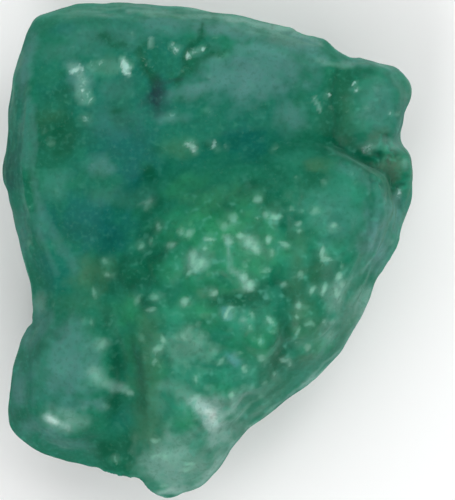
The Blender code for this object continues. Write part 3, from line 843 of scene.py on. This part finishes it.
def tint(stone):
    """Stores on the vertices the stone's colour with its painted highlights, light and shade, where it is
    steep and how busy its mottling is.
    """
    points, normals = read(stone.data, "co") / MM, read(stone.data, "normal")
    up = ramp(normals[:, 2], 0.0, 0.42)
    grain = as_marked(points) * np.array((1.0, 1.0, UPRIGHT_GRAIN))
    bent = warp(grain, 1.8, 0.36, 3)
    colour = np.tile(PALETTE["green"], (len(points), 1))

    def cover(name, share):
        nonlocal colour
        colour = colour + share[:, None] * (np.array(PALETTE[name]) - colour)

    ragged = RAGGED * fractal(grain, 1.1, 3, 77.0)
    for order, (name, places) in enumerate(TINTS):
        share = np.zeros(len(points))
        for centre, radii, turn, most in places:
            away = oval(bent, centre, radii, turn) + ragged
            share = np.maximum(share, most * (1.0 - ramp(away, 0.2, 1.35)))
        elsewhere = HIDDEN_SHARE * ramp(fractal(points, HIDDEN_SIZE, 3, 40.0 + 9.0 * order), 0.05, 0.55)
        cover(name, up * share + (1.0 - up) * elsewhere)
    # Painted glow: a halo of light round every chip.
    for place, radius, strength, _ in chips():
        away = oval(bent, place, (radius, radius), 0)
        cover("glow", up * HALO * strength * (1.0 - ramp(away, 0.4, 2.4)))
    for name, width, most, path in STROKES:
        away = from_path(bent, path) / width + ragged
        cover(name, up * most * (1.0 - ramp(away, 0.2, 2.0)))
    # Painted shade: the steep sides, most of all those that face the lower left, are darkened towards slate.
    steep = softened(stone, 1.0 - ramp(normals[:, 2], 0.15, 0.75), SHADE_PASSES)
    leftward = -0.85 * normals[:, 0] - 0.5 * normals[:, 1]
    facing_left = softened(stone, ramp(leftward, 0.0, 0.7), SHADE_PASSES)
    cover("slate", steep * (STEEP_SHADE + LEFT_SHADE * facing_left))
    # Painted light: the other steep sides, and more their thin rims, are lifted towards a milky tone.
    facing_away = up * (1.0 - ramp(facing_left, 0.0, 0.5))
    side = softened(stone, 1.0 - ramp(normals[:, 2], 0.05, 0.5), SIDE_PASSES)
    rim = softened(stone, 1.0 - ramp(normals[:, 2], 0.0, 0.35), RIM_PASSES)
    cover("milky", SIDE_LIGHT * facing_away * side)
    cover("milky", RIM_LIGHT * facing_away * rim)
    stone.data.attributes.new("steep", "FLOAT", "POINT").data.foreach_set("value", steep)
    busy = np.full(len(points), QUIET)
    for name, most in BUSY.items():
        busy = np.maximum(busy, up * most * zone(bent, name) * (1.0 - 0.6 * facing_left))
    busy = np.maximum(busy, STEEP_BUSY * steep)
    stone.data.attributes.new("busy", "FLOAT", "POINT").data.foreach_set("value", busy)
    attribute = stone.data.attributes.new("tint", "FLOAT_COLOR", "POINT")
    attribute.data.foreach_set("color", np.column_stack([colour, np.ones(len(points))]).ravel())


class Nodes:
    """A short way to write a material's nodes."""

    def __init__(self, name):
        self.material = bpy.data.materials.new(name)
        self.material.use_nodes = True
        self.tree = self.material.node_tree
        self.tree.nodes.clear()

    def put(self, socket, value):
        """Links another node's output to the socket, or sets it to a colour or number."""
        if isinstance(value, bpy.types.NodeSocket):
            self.tree.links.new(value, socket)
        elif isinstance(value, tuple) and len(value) == 3 and socket.type == "RGBA":
            socket.default_value = (*value, 1.0)
        else:
            socket.default_value = value

    def add(self, kind, **inputs):
        """A new node with these inputs; an underscore stands for a space in their names."""
        node = self.tree.nodes.new(kind)
        for name, value in inputs.items():
            self.put(node.inputs[name.replace("_", " ")], value)
        return node

    def attribute(self, name, output):
        """What is stored on the mesh under this name."""
        node = self.add("ShaderNodeAttribute")
        node.attribute_name = name
        return node.outputs[output]

    def ramp(self, value, low, high, start=0.0, end=1.0):
        """From start at low to end at high, smooth between."""
        node = self.add(
            "ShaderNodeMapRange", Value=value, From_Min=low, From_Max=high, To_Min=start, To_Max=end
        )
        node.interpolation_type = "SMOOTHSTEP"
        return node.outputs["Result"]

    def noise(self, place, scale, detail, distortion=0.0):
        """Smooth noise from 0 to 1."""
        node = self.add("ShaderNodeTexNoise", Vector=place, Scale=scale, Detail=detail, Distortion=distortion)
        return node.outputs["Fac"]

    def mix(self, share, first, second):
        """The first colour with this share of the second."""
        node = self.tree.nodes.new("ShaderNodeMix")
        node.data_type = "RGBA"
        for socket, value in ((node.inputs[0], share), (node.inputs[6], first), (node.inputs[7], second)):
            self.put(socket, value)
        return node.outputs[2]

    def math(self, operation, first, second):
        """A sum, difference or product."""
        node = self.tree.nodes.new("ShaderNodeMath")
        node.operation = operation
        self.put(node.inputs[0], first)
        self.put(node.inputs[1], second)
        return node.outputs[0]

    def finish(self, surface, volume=None):
        """The material, with these shaders for its surface and its body."""
        output = self.tree.nodes.new("ShaderNodeOutputMaterial")
        self.put(output.inputs["Surface"], surface.outputs[0])
        if volume:
            self.put(output.inputs["Volume"], volume.outputs[0])
        return self.material


def emerald():
    """Cloudy, see-through green beryl with a waxy, worn surface, and painted glints and glow on its chips.
    Noise scales are per millimetre.
    """
    made = Nodes("emerald")
    where = made.add("ShaderNodeTexCoord").outputs["Object"]
    scaled = made.add("ShaderNodeVectorMath")
    scaled.operation = "MULTIPLY"
    made.put(scaled.inputs[0], where)
    made.put(scaled.inputs[1], (1.0 / MM, 1.0 / MM, UPRIGHT_GRAIN / MM))
    place = scaled.outputs[0]
    zones = made.attribute("tint", "Color")
    glint = made.attribute("glint", "Fac")

    busy = made.attribute("busy", "Fac")
    cloud = made.noise(place, 0.30, 2.0, 0.4)
    mottle = made.noise(place, 0.70, 1.0, 0.3)
    speck = made.noise(place, 1.4, 1.0)
    grain = made.noise(place, 2.8, 2.0, 0.3)
    fine = made.noise(place, 4.5, 2.0)
    spot = made.math("ADD", made.attribute("spot", "Fac"), made.ramp(grain, 0.25, 0.75, -0.05, 0.05))
    flakes = made.add("ShaderNodeTexVoronoi", Vector=place, Scale=2.4)
    flake = made.add("ShaderNodeSeparateColor", Color=flakes.outputs["Color"]).outputs[0]

    def cover(colour, share, name):
        return made.mix(made.math("MULTIPLY", share, busy), colour, PALETTE[name])

    colour = made.mix(made.ramp(cloud, 0.50, 0.80, 0.0, 0.15), zones, PALETTE["lift"])
    colour = made.mix(made.ramp(cloud, 0.24, 0.50, 0.40, 0.0), colour, PALETTE["dark"])
    colour = made.mix(made.ramp(grain, 0.30, 0.50, 0.22, 0.0), colour, PALETTE["dark"])
    colour = made.mix(made.ramp(grain, 0.50, 0.70, 0.0, 0.20), colour, PALETTE["lift"])
    colour = cover(colour, made.ramp(mottle, 0.26, 0.52, 0.35, 0.0), "dark")
    colour = cover(colour, made.ramp(mottle, 0.50, 0.76, 0.0, 0.45), "mint")
    colour = cover(colour, made.ramp(speck, 0.58, 0.80, 0.0, 0.60), "pale")
    colour = cover(colour, made.ramp(speck, 0.20, 0.38, 0.15, 0.0), "dark")
    # Painted glints: a soft painted glow on the soft chips, then a broken painted highlight where the chips
    # glint.
    spot = made.ramp(spot, 0.32, 0.92, 0.0, GLOW)
    soft = made.math("MULTIPLY", made.attribute("power", "Fac"), spot)
    colour = made.mix(soft, colour, PALETTE["glow"])
    broken = made.math("ADD", glint, made.ramp(fine, 0.25, 0.75, -0.12, 0.12))
    broken = made.math("ADD", broken, made.ramp(flake, 0.0, 1.0, -0.25, 0.25))
    frost = made.ramp(broken, 0.25, 1.10, 0.0, 0.75)
    colour = made.mix(frost, colour, PALETTE["frost"])

    rough = made.ramp(mottle, 0.30, 0.70, 0.32, 0.42)
    rough = made.math("SUBTRACT", rough, made.math("MULTIPLY", glint, 0.20))
    rough = made.math("ADD", rough, made.math("MULTIPLY", made.attribute("steep", "Fac"), 0.40))
    rough = made.math("ADD", rough, made.ramp(busy, QUIET, 0.60, 0.25, 0.0))
    height = made.math("ADD", made.math("MULTIPLY", fine, 0.10), speck)
    bump = made.add("ShaderNodeBump", Height=height, Strength=0.25, Distance=0.10 * MM).outputs[0]

    shader = made.add("ShaderNodeBsdfPrincipled", Base_Color=colour, Roughness=rough, Normal=bump)
    shader.inputs["IOR"].default_value = REFRACTION
    shader.inputs["Specular IOR Level"].default_value = GLOSS
    shader.inputs["Transmission Weight"].default_value = SEE_THROUGH
    shader.inputs["Subsurface Weight"].default_value = CLOUDINESS
    shader.inputs["Subsurface Radius"].default_value = SCATTER_SHARES
    shader.inputs["Subsurface Scale"].default_value = SCATTER_REACH * MM
    absorb = made.add("ShaderNodeVolumeAbsorption", Color=BODY_COLOUR, Density=BODY_DENSITY)
    return made.finish(shader, absorb)


def pale_floor():
    """A wide, plain floor under the stone."""
    made = Nodes("floor")
    where = made.add("ShaderNodeTexCoord").outputs["Object"]
    colour = made.mix(made.noise(where, 40.0, 3.0), *FLOOR_SHADES)
    shader = made.add("ShaderNodeBsdfPrincipled", Base_Color=colour, Roughness=0.9)
    bpy.ops.mesh.primitive_plane_add(size=FLOOR_WIDTH * MM, location=(0, 0, 0))
    floor = bpy.context.object
    floor.name = "floor"
    floor.data.materials.append(made.finish(shader))


def softbox(name, azimuth, elevation, distance, width, power):
    """A square light that faces the stone: azimuth 0 stands on the -Y side and 90 on the +X side."""
    light = bpy.data.lights.new(name, "AREA")
    light.size = width * MM
    light.energy = power
    lamp = bpy.data.objects.new(name, light)
    bpy.context.scene.collection.objects.link(lamp)
    turn, lift = math.radians(azimuth), math.radians(elevation)
    back = Vector((math.sin(turn) * math.cos(lift), -math.cos(turn) * math.cos(lift), math.sin(lift)))
    lamp.location = back * distance * MM
    lamp.rotation_mode = "QUATERNION"
    lamp.rotation_quaternion = back.to_track_quat("Z", "Y")


def studio():
    """Soft light from all round, dimmer straight overhead, and a few lamps."""
    world = bpy.data.worlds.new("studio")
    world.use_nodes = True
    tree = world.node_tree
    where = tree.nodes.new("ShaderNodeTexCoord")
    split = tree.nodes.new("ShaderNodeSeparateXYZ")
    fade = tree.nodes.new("ShaderNodeMapRange")
    fade.interpolation_type = "SMOOTHSTEP"
    for name, value in (("From Min", 0.45), ("From Max", 1.0), ("To Min", SKY_LOW), ("To Max", SKY_HIGH)):
        fade.inputs[name].default_value = value
    tree.links.new(where.outputs["Generated"], split.inputs[0])
    tree.links.new(split.outputs["Z"], fade.inputs["Value"])
    tree.links.new(fade.outputs["Result"], tree.nodes["Background"].inputs["Strength"])
    bpy.context.scene.world = world
    for lamp in LAMPS:
        softbox(*lamp)


def camera():
    """Straight above, with the stone a little left of the frame's middle."""
    data = bpy.data.cameras.new("camera")
    data.sensor_width = 36.0
    data.lens = data.sensor_width * CAMERA_HEIGHT / FRAME_HEIGHT
    data.clip_start, data.clip_end = 0.01, 10.0
    lens = bpy.data.objects.new("camera", data)
    bpy.context.scene.collection.objects.link(lens)
    lens.location = (FRAME_MIDDLE_X * MM, 0.0, (CAMERA_HEIGHT + WIDEST_HEIGHT) * MM)
    bpy.context.scene.camera = lens


def main():
    """Dresses a copy of the stone, then sets up the floor, the light and the camera."""
    stone = copy_of(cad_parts[NODE])
    remake(stone, COARSE_VOXEL, COARSE_EASE_PASSES)
    fill_valleys(stone)
    remake(stone, FINE_VOXEL, FINE_EASE_PASSES)
    drop_crumbs(stone)
    stone.data.materials.clear()
    stone.data.shade_smooth()
    wear_valleys(stone)
    carve(stone)
    chip(stone)
    tint(stone)
    stone.data.materials.append(emerald())
    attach(stone, "root")
    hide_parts(NODE)
    pale_floor()
    studio()
    camera()
    bpy.context.scene.view_settings.view_transform = "Standard"


main()
